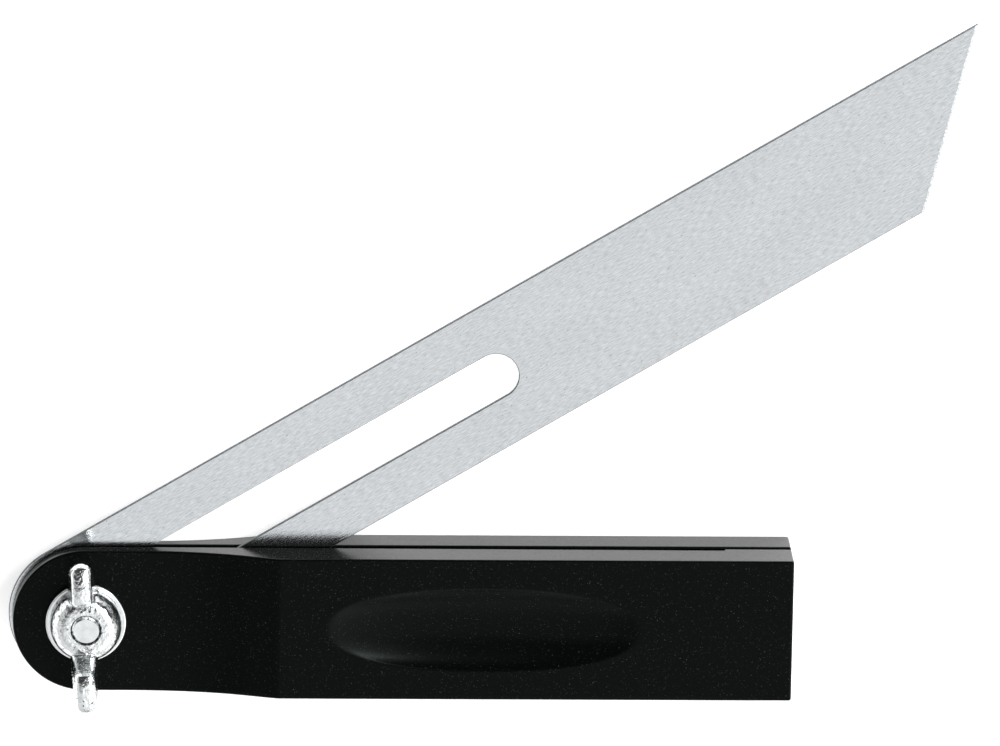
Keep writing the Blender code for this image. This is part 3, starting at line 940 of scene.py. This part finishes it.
def light_the_room():
    """A dim room with one wide soft light in its ceiling, which reaches from overhead to the side
    away from the blade, brighter to the right and weaker to the left and low down. A halo lies
    beside the key lamp. Round the room's foot runs a low white backdrop, on from where the paper
    ends."""
    world = bpy.data.worlds.new("soft_studio")
    bpy.context.scene.world = world
    world.use_nodes = True
    tree = world.node_tree
    tree.nodes.clear()
    direction = add_node(tree, "ShaderNodeTexCoord").outputs["Generated"]
    parts = add_node(tree, "ShaderNodeSeparateXYZ", {"Vector": direction}).outputs
    facing = add_node(tree, "ShaderNodeVectorMath",
                      {0: direction, 1: towards_sky(halo_azimuth, halo_elevation)},
                      operation="DOT_PRODUCT").outputs["Value"]
    halo_edge = (math.cos(halo_reach + halo_fade), math.cos(halo_reach))
    far_levels = (ceiling_light_level, ceiling_light_far_level)
    left_levels = (ceiling_light_left_share, 1)
    zones = {}
    for name, value, edge, levels, blend in (
            ("far", parts["X"], ceiling_light_far_span, far_levels, "LINEAR"),
            ("left", parts["X"], ceiling_light_left_edge, left_levels, "SMOOTHSTEP"),
            ("near", parts["Y"], ceiling_light_near_edge, (0, 1), "SMOOTHSTEP"),
            ("foot", parts["Z"], ceiling_light_foot, (ceiling_light_foot_share, 1), "SMOOTHSTEP"),
            ("backdrop", parts["Z"], backdrop_edge, (1, room_level), "SMOOTHSTEP"),
            ("halo", facing, halo_edge, (0, halo_level), "SMOOTHSTEP"),
            ("halo_side", parts["X"], halo_side, (0, 1), "LINEAR")):
        zones[name] = add_node(tree, "ShaderNodeMapRange", {
            "Value": value, "From Min": edge[0], "From Max": edge[1],
            "To Min": levels[0], "To Max": levels[1]},
            interpolation_type=blend).outputs["Result"]
    lights = []
    for first, *others in (("far", "left", "near", "foot"), ("halo", "halo_side")):
        light = zones[first]
        for other in others:
            light = add_node(tree, "ShaderNodeMath", {0: light, 1: zones[other]},
                             operation="MULTIPLY").outputs["Value"]
        lights.append(light)
    total = zones["backdrop"]
    for light in lights:
        total = add_node(tree, "ShaderNodeMath", {0: total, 1: light},
                         operation="ADD").outputs["Value"]
    glow = add_node(tree, "ShaderNodeBackground", {"Color": "FFFFFF", "Strength": total})
    add_node(tree, "ShaderNodeOutputWorld", {"Surface": glow.outputs["Background"]})


def add_lamp(name, azimuth, elevation, distance, size, brightness):
    """A soft lamp that faces the tool, as bright as a white surface of strength 1 times its
    brightness."""
    width, height = size
    lamp = bpy.data.lights.new(name, "AREA")
    lamp.shape = "RECTANGLE"
    lamp.size, lamp.size_y = width, height
    lamp.energy = brightness * math.pi * width * height
    back = towards_sky(azimuth, elevation)
    holder = bpy.data.objects.new(name, lamp)
    holder.location = back * distance
    holder.rotation_euler = back.to_track_quat("Z", "Y").to_euler()
    bpy.context.scene.collection.objects.link(holder)


def add_camera():
    """The photograph's view: nearly straight down on the front face, from a little towards the
    blade."""
    camera = bpy.data.cameras.new("camera")
    camera.sensor_width = sensor_width
    camera.lens = sensor_width * focal_length_in_widths
    turned_view = (Matrix.Rotation(camera_yaw, 3, "Y") @ Matrix.Rotation(-camera_pitch, 3, "X")
                   @ Matrix.Rotation(camera_roll, 3, "Z"))
    right, up, back = turned_view.transposed()
    holder = bpy.data.objects.new("camera", camera)
    aim = pivot + camera_aim + right * camera_aim_right + up * camera_aim_up
    holder.matrix_world = Matrix.Translation(aim + back * camera_distance) @ turned_view.to_4x4()
    camera.clip_start, camera.clip_end = [camera_distance * share for share in camera_clip_shares]
    bpy.context.scene.collection.objects.link(holder)
    bpy.context.scene.camera = holder


# The whole

coat = powder_coat()
plating = zinc_plate()
make_rear_half(coat)
make_front_half(coat)
make_butt_screws(plating)
# The blade's narrow edges are coloured a dark grey, far darker than its brushed faces and its
# ground tip
make_blade([brushed_steel(), cut_steel("dark_steel_edge", "4C4F51", "6C6F71"),
            cut_steel("ground_steel_tip", "A0A3A5", "D0D3D4")])
make_pivot_bolt(plating)
make_washer(plating)
make_wing_nut(plated_casting())

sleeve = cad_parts["pivot_sleeve"]
sleeve.data.materials.clear()
sleeve.data.materials.append(rolled_steel())

paper_floor()
light_the_room()
add_lamp("key_softbox", key_azimuth, key_elevation, key_distance, key_size, key_brightness)
add_lamp("side_panel", panel_azimuth, panel_elevation, panel_distance, panel_size, panel_brightness)
add_camera()
bpy.context.scene.view_settings.view_transform = "Standard"
